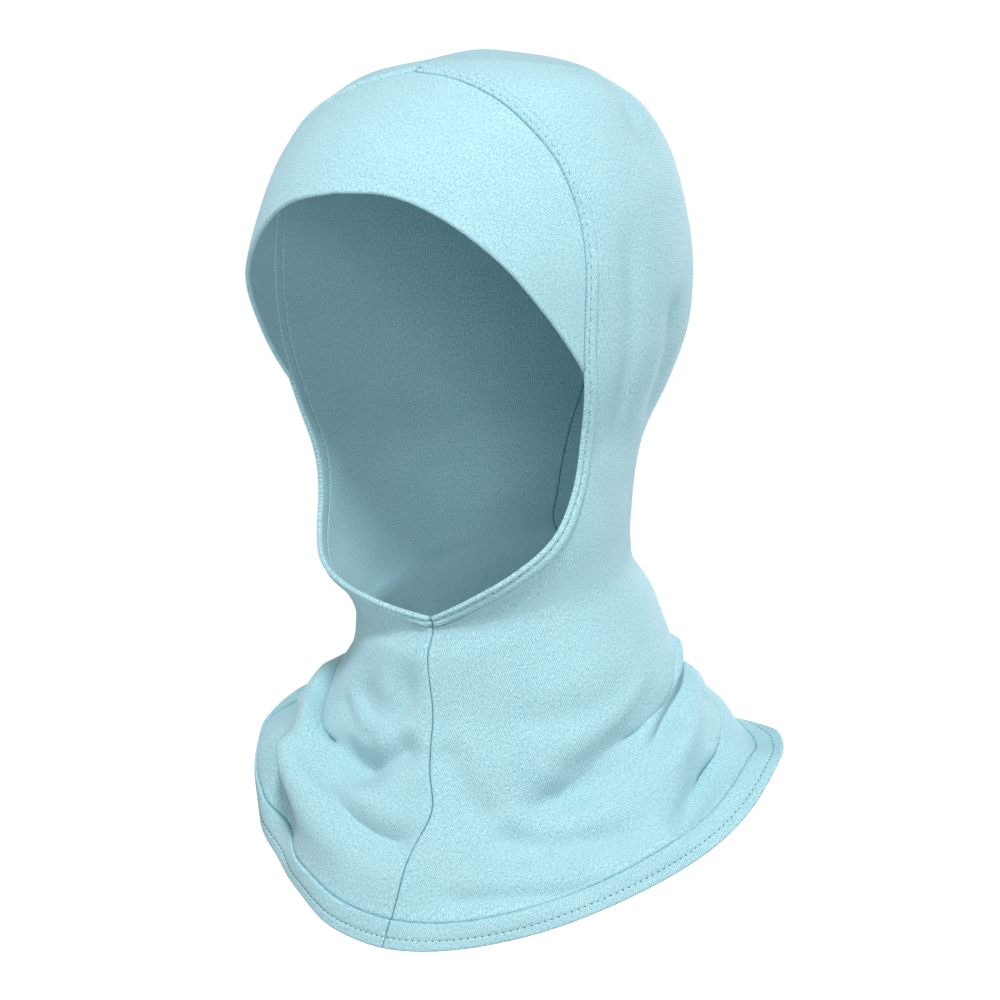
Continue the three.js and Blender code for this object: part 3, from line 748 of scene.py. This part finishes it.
def side_panel(form, s, side, hand):
    """One side of the hood and bib."""
    angle, row = panel_places(form, s, hand)
    points = form.cloth(angle, row)
    points[row == 0, 0] += hand * s.gap / 2
    points = facing(points, hand)
    grain = flattened(points)
    borders = ("bottom", "left", "right")
    return shell(f"jersey_panel_{side}", points, grain, s.cloth, 0, PANEL_ROUND, borders), grain


def ridge_lift(ridges, width):
    """How far the cloth is raised by ridges and ditches across its width."""
    return sum(height * bell(width / MM, middle, spread) for height, middle, spread in ridges) * MM


def turned_edge(form, s, side, hand):
    """The turned and stitched edge of one side, beside the band and round the opening."""
    along = np.linspace(0, EDGE_LAST, STRIP_ROWS + 1)
    widths = STRIP_WIDTHS * s.edge_width
    angle, row = np.moveaxis([beside_edge(form, hand, along, w) for w in widths], 0, -1)
    angle = np.maximum(angle, seam_gap(form, 0, row, s.gap)) * hand
    points = facing(form.cloth(angle, row), hand)
    lift = facing(np.broadcast_to(ridge_lift(EDGE_RIDGES, widths), angle.shape), hand)
    return shell(f"jersey_edge_{side}", points, strip_grain(points), s.folded, lift, EDGE_ROUND)


def strip_grain(points):
    """The flat pattern of a narrow strip, whose rows run along it."""
    far = distance_along(points[:, points.shape[1] // 2])
    wide = distance_along(points, axis=1).mean(0)
    return np.stack(np.broadcast_arrays(wide, -far[:, None]), -1)


def forehead_band(form, s):
    """The band let in over the front, doubled, with its fold as the lower edge."""
    columns = np.linspace(-1, 1, BAND_COLUMNS + 1)
    hand = np.where(columns < 0, -1, 1)
    out = np.abs(columns)
    upper = np.array([beside_edge(form, h, at, -s.gap) for h, at in zip(hand, out * TEMPLE)])
    tip = beside_edge(form, 1, TEMPLE, -s.gap)
    lower = through((*BROW_EDGE, tip), out * len(BROW_EDGE))
    tall = norm(form.smooth(upper[:, 0] * hand, upper[:, 1]) - form.smooth(lower[:, 0] * hand, lower[:, 1]))
    share = spaced(np.zeros(len(out)), np.ones(len(out)), BAND_ROWS + 1, 1 / np.maximum(tall, MM)).T
    angle = mix(upper[:, 0], lower[:, 0], share) * hand
    row = mix(upper[:, 1], lower[:, 1], share)
    points = form.cloth(angle, row)
    grain = flattened(points)
    return shell("jersey_band", points, grain, s.folded, 0, BAND_ROUND, ("top", "bottom")), grain


def hem(form, s, side, hand):
    """The hem of one side of the bib, turned up and stitched twice round."""
    widths = HEM_WIDTHS * s.hem_width
    share = np.linspace(0, 1, HEM_COLUMNS + 1)
    rows = above_hem(form, 180 * share[None, :] * hand, widths[:, None])
    front = seam_gap(form, 0, rows[:, :1], s.gap)
    back = 180 - seam_gap(form, 180, rows[:, -1:], s.gap)
    size = ((back - front) * girth(form, 90 * hand, rows[:, :1]))[:, 0]
    angle = spaced(front[:, 0], back[:, 0], HEM_COLUMNS + 1, 1 / size) * hand
    rows = above_hem(form, angle, widths[:, None])
    points = facing(form.cloth(angle, rows), hand)
    lift = ridge_lift(HEM_RIDGES, widths)[:, None]
    grain = strip_grain(points.transpose(1, 0, 2))[:, :, ::-1].transpose(1, 0, 2)
    return shell(f"jersey_hem_{side}", points, grain, s.folded, lift, HEM_ROUND)


def node(tree, kind, inputs=(), output=0, **settings):
    """Adds a shader node with its settings and gives its output. Inputs are pairs of a socket and its value,
    or the output that feeds it.
    """
    made = tree.nodes.new("ShaderNode" + kind)
    for name, value in settings.items():
        setattr(made, name, value)
    for socket, value in inputs:
        if isinstance(value, bpy.types.NodeSocket):
            tree.links.new(value, made.inputs[socket])
        else:
            made.inputs[socket].default_value = value
    return made.outputs[output] if made.outputs else None


def finish(name):
    """A new empty material and its node tree."""
    material = bpy.data.materials.new(name)
    material.use_nodes = True
    material.node_tree.nodes.clear()
    return material, material.node_tree


def blend_ramp(tree, fac, stops):
    """The colour of a ramp with stops of a place and a colour."""
    colour_out = node(tree, "ValToRGB", [("Fac", fac)])
    elements = colour_out.node.color_ramp.elements
    while len(elements) < len(stops):
        elements.new(0.5)
    for element, (place, shade) in zip(elements, stops):
        element.position = place
        element.color = shade
    return colour_out


WALE = 0.8  # millimetres between the knit's upright ribs, a little over real jersey so that it shows
COURSE = 0.62  # millimetres between its rows of loops
FLECKS = (1350.0, 950.0, 1.0)  # of mixed yarn in a metre across and along: 0.74 mm wide and 1.05 mm long
CLOUDS = 60.0  # of uneven dye in a metre: 17 mm wide
PATTERN_MEAN = 0.4  # taken off each pattern, so that it leaves the cloth's colour in the middle
WAVE_LENGTH = math.pi / 10  # of a wave texture at a scale of one
EDGE_GRAIN = 0.5  # radians that the knit is turned by in the turned edges


def jersey(name, turn=0.0):
    """Cotton jersey: a fine matt knit. Its ribs and mixed yarns break up the colour, and its fuzz pales the
    rim.
    """
    material, tree = finish(name)
    shades = colours()
    flat = node(tree, "Attribute", output="Vector", attribute_name="grain")
    turned = node(tree, "Mapping", [("Vector", flat), ("Rotation", (0, 0, turn))])
    across, along = (
        node(
            tree,
            "TexWave",
            [
                ("Vector", turned), ("Scale", WAVE_LENGTH / (size * MM)), ("Distortion", distortion),
                ("Detail", 2.0), ("Detail Scale", 0.4), ("Detail Roughness", 0.6),
            ],
            output="Fac",
            bands_direction=direction,
        )
        for direction, size, distortion in (("X", WALE, 1.2), ("Y", COURSE, 1.6))
    )
    loops = node(tree, "Math", [(0, across), (1, along)], operation="MULTIPLY")
    drawn = node(tree, "Mapping", [("Vector", turned), ("Scale", FLECKS)])
    yarn = node(tree, "TexNoise", [("Vector", drawn), ("Scale", 1.0), ("Detail", 3.0), ("Roughness", 0.65)])
    cloud = node(tree, "TexNoise", [("Vector", turned), ("Scale", CLOUDS), ("Detail", 2.0)])
    tone = yarn
    for pattern, amount in ((across, 0.13), (loops, 0.14), (cloud, 0.08)):
        centred = node(tree, "Math", [(0, pattern), (1, PATTERN_MEAN)], operation="SUBTRACT")
        tone = node(tree, "Math", [(0, centred), (1, amount), (2, tone)], operation="MULTIPLY_ADD")
    dye = blend_ramp(tree, tone, ((0.26, shades.shade), (0.5, shades.cloth), (0.76, shades.light)))
    relief = node(tree, "Math", [(0, yarn), (1, 0.7), (2, loops)], operation="MULTIPLY_ADD")
    bump = node(tree, "Bump", [("Height", relief), ("Strength", 0.55), ("Distance", 0.00025)])
    skin = node(
        tree,
        "BsdfPrincipled",
        [
            ("Base Color", dye), ("Roughness", 0.9), ("IOR", 1.46), ("Specular IOR Level", 0.3),
            ("Sheen Weight", 0.3), ("Sheen Roughness", 0.5), ("Sheen Tint", (0.8, 0.88, 1, 1)),
            ("Normal", bump),
        ],
    )
    node(tree, "OutputMaterial", [("Surface", skin)])
    return material


TWIST = 900.0  # flecks in a metre of sewing thread: 1.1 mm long
DARK_FLECK = 0.7  # of the thread's colour
LIGHT_FLECK = 1.3


def thread(name, shade):
    """Spun polyester sewing thread: a fine twist with a faint shine. Its given colour is dark with painted
    shade of the holes and ditches it sinks into.
    """
    material, tree = finish(name)
    place = node(tree, "TexCoord", output="Object")
    fleck = node(tree, "TexNoise", [("Vector", place), ("Scale", TWIST), ("Detail", 2.0)])
    base = np.array(shade)[:3]
    light = np.minimum(base * LIGHT_FLECK, 1)
    dye = blend_ramp(tree, fleck, ((0.3, [*(base * DARK_FLECK), 1]), (0.7, [*light, 1])))
    bump = node(tree, "Bump", [("Height", fleck), ("Strength", 0.4), ("Distance", 0.0001)])
    socket_values = [("Base Color", dye), ("Roughness", 0.6), ("IOR", 1.5), ("Normal", bump)]
    skin = node(tree, "BsdfPrincipled", socket_values)
    node(tree, "OutputMaterial", [("Surface", skin)])
    return material


def stitch_form():
    """One stitch, a metre long along X and thick in Z; stitches bends its ends down into their holes."""
    bpy.ops.object.select_all(action="DESELECT")
    bpy.ops.mesh.primitive_uv_sphere_add(segments=8, ring_count=8, radius=0.5, rotation=(0, math.pi / 2, 0))
    made = bpy.context.object
    bpy.ops.object.transform_apply(location=False, rotation=True, scale=False)
    mesh = made.data
    points = np.empty(len(mesh.vertices) * 3)
    mesh.vertices.foreach_get("co", points)
    points = points.reshape(-1, 3)
    faces = [tuple(f.vertices) for f in mesh.polygons]
    bpy.data.objects.remove(made)
    bpy.data.meshes.remove(mesh)
    return points, faces


def laid(form, angle, row, height):
    """Points of a line raised by a height over the cloth's inner face, and the outward normals there."""
    points = form.cloth(angle, row)
    down = form.cloth(angle, np.minimum(row + STEP, HEM_ROW)) - form.cloth(angle, row - STEP)
    turn = form.cloth(angle + TURN_STEP / 2, row) - form.cloth(angle - TURN_STEP / 2, row)
    out = unit(np.cross(down, turn))
    return points + out * height, out


NEARBY = 0.2 * MM  # along a line, to take its direction over


def paced(points, normals, pitch):
    """Places at an even pitch along a line, with the line's direction and the outward normal there."""
    far = distance_along(points)
    at = np.arange(0.5 * pitch, far[-1], pitch)

    def along(values, place):
        return np.stack([np.interp(place, far, column) for column in values.T], -1)

    run = unit(along(points, at + NEARBY) - along(points, at - NEARBY))
    out = along(normals, at)
    out -= run * (out * run).sum(-1, keepdims=True)
    return along(points, at), run, unit(out)


def stitches(form, name, angle, row, height, pitch, long, thick, bend=1.2):
    """A row of stitches along a line of places on the cloth, each a copy of the one that stitch_form makes.
    Lengths are in metres, and bend is how far the ends dip, in shares of the thickness.
    """
    centre, run, out = paced(*laid(form, angle, row, height), pitch)
    base, faces = stitch_form()
    x = base[:, 0] * long
    y = base[:, 1] * thick
    z = (base[:, 2] - bend * (2 * base[:, 0]) ** 2) * thick
    points = centre[:, None]
    for way, far in ((run, x), (np.cross(out, run), y), (out, z)):
        points = points + way[:, None] * far[:, None]
    corners = [tuple(v + n * len(base) for v in face) for n in range(len(centre)) for face in faces]
    return closed_piece(name, points, corners)


SEAM_PITCH = 1.6 * MM  # between the places where a seam's thread is drawn in
SEAM_STEPS = 4  # points traced for each of them
SEAM_SIDES = 6  # of the thread's round section
SEAM_NIP = 0.25  # how much thinner it is where it is drawn in


def seam_thread(form, name, angle, row, height, thick):
    """The line of thread and turned cloth that shows at the bottom of a seam, drawn in at each stitch."""
    centre, run, out = paced(*laid(form, angle, row, height), SEAM_PITCH / SEAM_STEPS)
    side = np.cross(out, run)
    pull = 1 - SEAM_NIP * (np.arange(len(centre)) % SEAM_STEPS == 0)
    turn = np.arange(SEAM_SIDES) * math.pi / (SEAM_SIDES / 2)
    ring = out[:, None] * np.cos(turn)[:, None] + side[:, None] * np.sin(turn)[:, None]
    points = centre[:, None] + ring * (thick / 2 * pull)[:, None, None]
    index = np.arange(points[..., 0].size).reshape(-1, SEAM_SIDES)
    looped = np.concatenate([index, index[:, :1]], axis=1)
    ends = [index[0].tolist(), index[-1, ::-1].tolist()]
    return closed_piece(name, points, cells(looped) + ends)


class CAP_OT_side_panels(bpy.types.Operator):
    """Make both sides of the hood and bib"""

    bl_idname = "cap.side_panels"
    bl_label = "Side panels"

    def execute(self, context):
        form, s = fitted()
        cloth = jersey("Cotton jersey, panels")
        for side, hand in SIDES:
            obj, grain = side_panel(form, s, side, hand)
            adopt(obj, cloth, "panel_jersey", f"side_panel_{side}")
            trims = [f"{trim}_{side}" for trim in TRIMS]
            trims += ["front_seam_thread", "crown_seam_thread"] if side == "left" else []
            declare(obj, grain)
        return {"FINISHED"}


class CAP_OT_turned_edges(bpy.types.Operator):
    """Make the turned edges, their rows of stitches and the seams beside them"""

    bl_idname = "cap.turned_edges"
    bl_label = "Turned edges"

    def execute(self, context):
        form, s = fitted()
        cloth = jersey("Cotton jersey, turned edges", turn=EDGE_GRAIN)
        # The stitches' dark colour is painted shade of their holes.
        yarn = thread("Polyester thread with painted hole shade, edges", colours().thread)
        # Painted shade at the bottom of the seam beside the panel.
        painted_seam_shade = thread("Turned seam cloth in painted shade, edges", colours().shade)
        # Painted shade in the ditch beside the band.
        dark = thread("Turned seam cloth in painted shade, band", colours().seam)
        along = np.linspace(STEP, EDGE_LAST - STEP, EDGE_POINTS)
        seams = (
            ("band_seam", dark, along * TEMPLE / EDGE_LAST, -s.gap / 2, s.folded * BAND_SEAM_HEIGHT),
            ("edge_seam", painted_seam_shade, along, s.edge_width + s.gap / 2, s.cloth * EDGE_SEAM_HEIGHT),
        )
        for side, hand in SIDES:
            adopt(turned_edge(form, s, side, hand), cloth, "edge_jersey", f"turned_edge_{side}")
            angle, row = beside_edge(form, hand, along, EDGE_STITCH * MM)
            height = s.folded - DRAWN_IN
            line = stitches(form, f"edge_stitches_{side}", angle * hand, row, height, *EDGE_STITCHES)
            adopt(line, yarn, "edge_jersey")
            for name, shade, at, width, height in seams:
                angle, row = beside_edge(form, hand, at, width)
                line = seam_thread(form, f"{name}_{side}", angle * hand, row, height, SEAM_THICK)
                adopt(line, shade, "edge_jersey")
        return {"FINISHED"}


class CAP_OT_forehead_band(bpy.types.Operator):
    """Make the band let in over the front"""

    bl_idname = "cap.forehead_band"
    bl_label = "Forehead band"

    def execute(self, context):
        form, s = fitted()
        obj, grain = forehead_band(form, s)
        adopt(obj, jersey("Cotton jersey, band"), "band_jersey", "forehead_band")
        declare(obj, grain)
        return {"FINISHED"}


class CAP_OT_hems(bpy.types.Operator):
    """Make the hems and their two rows of stitches"""

    bl_idname = "cap.hems"
    bl_label = "Hems"

    def execute(self, context):
        form, s = fitted()
        cloth = jersey("Cotton jersey, hems")
        # The stitches' dark colour is painted shade of their holes.
        yarn = thread("Polyester thread with painted hole shade, hems", colours().thread)
        # Painted shade at the bottom of the seam above the hem.
        painted_seam_shade = thread("Turned seam cloth in painted shade, hems", colours().shade)
        for side, hand in SIDES:
            adopt(hem(form, s, side, hand), cloth, "hem_jersey", f"hem_{side}")
            angle = np.linspace(0, 180, HEM_POINTS) * hand
            row = above_hem(form, angle, HEM_STITCH * MM)
            height = s.folded - DRAWN_IN
            line = stitches(form, f"hem_stitches_{side}", angle, row, height, *HEM_STITCHES)
            adopt(line, yarn, "hem_jersey")
            row = above_hem(form, angle, s.hem_width + s.gap / 2)
            height = s.cloth * HEM_SEAM_HEIGHT
            line = seam_thread(form, f"hem_seam_{side}", angle, row, height, SEAM_THICK)
            adopt(line, painted_seam_shade, "hem_jersey")
        return {"FINISHED"}


class CAP_OT_middle_seams(bpy.types.Operator):
    """Make the threads of the seams that join the two sides, in front and over the crown"""

    bl_idname = "cap.middle_seams"
    bl_label = "Middle seams"

    def execute(self, context):
        form, s = fitted()
        # Painted shade in the ditches of the middle seams.
        yarn = thread("Turned seam cloth in painted shade, middle", colours().seam)
        height = s.cloth * MIDDLE_SEAM_HEIGHT
        rows = np.linspace(PANEL_EDGE[-1, 1] + STEP, HEM_ROW - STEP, FRONT_POINTS)
        line = seam_thread(form, "front_seam_thread", 0 * rows, rows, height, MIDDLE_THICK)
        adopt(line, yarn, "panel_jersey")
        over = np.linspace(PANEL_EDGE[0, 1], POLE_ROW, CROWN_POINTS)
        rows = np.concatenate([over, np.linspace(POLE_ROW, HEM_ROW - STEP, BACK_POINTS)])
        angle = np.where(np.arange(len(rows)) < CROWN_POINTS, 0, 180)
        line = seam_thread(form, "crown_seam_thread", angle, rows, height, MIDDLE_THICK)
        adopt(line, yarn, "panel_jersey")
        return {"FINISHED"}


# The camera looks level at the cap, as the photograph does.
CAMERA_AZIMUTH = 39
CAMERA_DISTANCE = 1.5
CAMERA_SIDEWAYS = 0.00624
CAMERA_HEIGHT = -0.1743
CAMERA_LENS = 138.46
CAMERA_SENSOR = 36
CAMERA_CLIP = 0.05
FLOOR_HEIGHT = -0.5
FLOOR_RADIUS = 6
WORLD_STRENGTH = 0.32
AIM = Vector((0, 0, -0.17))
LIGHTS = (
    # name, azimuth, elevation, distance, size, power
    ("Key softbox", 37, 49, 1.6, 0.3, 19.5),
    ("Front softbox", 50, 2, 1.6, 0.6, 6),
    ("Right softbox", 122, 10, 1.6, 0.8, 6),
    ("Left softbox", -45, 10, 1.6, 0.8, 5.5),
    ("Back softbox", 185, 4, 1.6, 0.6, 12),
)


def lit_paper():
    """Matt paper on a light table: seen white, so that it runs into the wall, but it lights the cap only
    faintly.
    """
    material, tree = finish("Matt white paper")
    paper = list(colours().floor)
    seen = node(tree, "LightPath", output="Is Camera Ray")
    skin = node(
        tree,
        "BsdfPrincipled",
        [
            ("Base Color", paper), ("Roughness", 0.95), ("Emission Color", (1, 1, 1, 1)),
            ("Emission Strength", seen),
        ],
    )
    node(tree, "OutputMaterial", [("Surface", skin)])
    return material


def white_studio():
    """A white room: seen white, and dimmer as a light, because its walls stand further off than the lamps."""
    world = bpy.data.worlds.new("White studio")
    world.use_nodes = True
    tree = world.node_tree
    tree.nodes.clear()
    seen = node(tree, "LightPath", output="Is Camera Ray")
    strength = node(tree, "MapRange", [("Value", seen), ("To Min", WORLD_STRENGTH), ("To Max", 1.0)])
    wall = node(tree, "Background", [("Color", (1, 1, 1, 1)), ("Strength", strength)])
    node(tree, "OutputWorld", [("Surface", wall)])
    return world


class CAP_OT_stage(bpy.types.Operator):
    """Make the studio floor, its lights and the camera"""

    bl_idname = "cap.stage"
    bl_label = "Stage"

    def execute(self, context):
        scene = bpy.context.scene
        bpy.ops.object.select_all(action="DESELECT")
        bpy.ops.mesh.primitive_circle_add(
            vertices=96, radius=FLOOR_RADIUS, fill_type="NGON", location=(0, 0, FLOOR_HEIGHT)
        )
        floor = bpy.context.object
        floor.name = "studio_floor"
        bpy.ops.object.transform_apply(location=True)
        floor.data.materials.append(lit_paper())
        scene.world = white_studio()
        for name, azimuth, elevation, distance, size, power in LIGHTS:
            a, e = math.radians(azimuth), math.radians(elevation)
            toward = Vector((math.sin(a) * math.cos(e), -math.cos(a) * math.cos(e), math.sin(e)))
            lamp = bpy.data.lights.new(name, "AREA")
            lamp.shape = "DISK"
            lamp.size = size
            lamp.energy = power
            obj = bpy.data.objects.new(name, lamp)
            obj.location = AIM + toward * distance
            obj.rotation_euler = (-toward).to_track_quat("-Z", "Y").to_euler()
            scene.collection.objects.link(obj)
        a = math.radians(CAMERA_AZIMUTH)
        camera = bpy.data.objects.new("Camera", bpy.data.cameras.new("Camera"))
        camera.data.lens = CAMERA_LENS
        camera.data.sensor_width = CAMERA_SENSOR
        camera.data.clip_start = CAMERA_CLIP
        back_off = CAMERA_DISTANCE * Vector((math.sin(a), -math.cos(a), 0))
        right = Vector((math.cos(a), math.sin(a), 0))
        camera.location = back_off + right * CAMERA_SIDEWAYS + Vector((0, 0, CAMERA_HEIGHT))
        camera.rotation_euler = (math.pi / 2, 0, a)
        scene.collection.objects.link(camera)
        scene.camera = camera
        scene.view_settings.view_transform = "Standard"
        return {"FINISHED"}


class CAP_PT_sidebar(bpy.types.Panel):
    """Lists the cap's sizes, colours and pieces"""

    bl_idname = "CAP_PT_sidebar"
    bl_label = "Jersey undercap"
    bl_space_type = "VIEW_3D"
    bl_region_type = "UI"
    bl_category = "Undercap"

    def draw(self, context):
        for group in (context.scene.cap_sizes, context.scene.cap_colours):
            for name in group.bl_rna.properties.keys():
                if name not in ("rna_type", "name"):
                    self.layout.prop(group, name)
        for operator in OPERATORS:
            self.layout.operator(operator.bl_idname)


OPERATORS = (
    CAP_OT_turned_edges, CAP_OT_hems, CAP_OT_middle_seams, CAP_OT_side_panels, CAP_OT_forehead_band,
    CAP_OT_stage,
)
CLASSES = (CapSizes, CapColours, *OPERATORS, CAP_PT_sidebar)


def register():
    for each in CLASSES:
        bpy.utils.register_class(each)
    bpy.types.Scene.cap_sizes = bpy.props.PointerProperty(type=CapSizes)
    bpy.types.Scene.cap_colours = bpy.props.PointerProperty(type=CapColours)


def unregister():
    del bpy.types.Scene.cap_colours
    del bpy.types.Scene.cap_sizes
    for each in reversed(CLASSES):
        bpy.utils.unregister_class(each)


def main():
    register()
    bpy.ops.cap.turned_edges()
    bpy.ops.cap.hems()
    bpy.ops.cap.middle_seams()
    bpy.ops.cap.side_panels()
    bpy.ops.cap.forehead_band()
    bpy.ops.cap.stage()


if __name__ == "__main__":
    main()
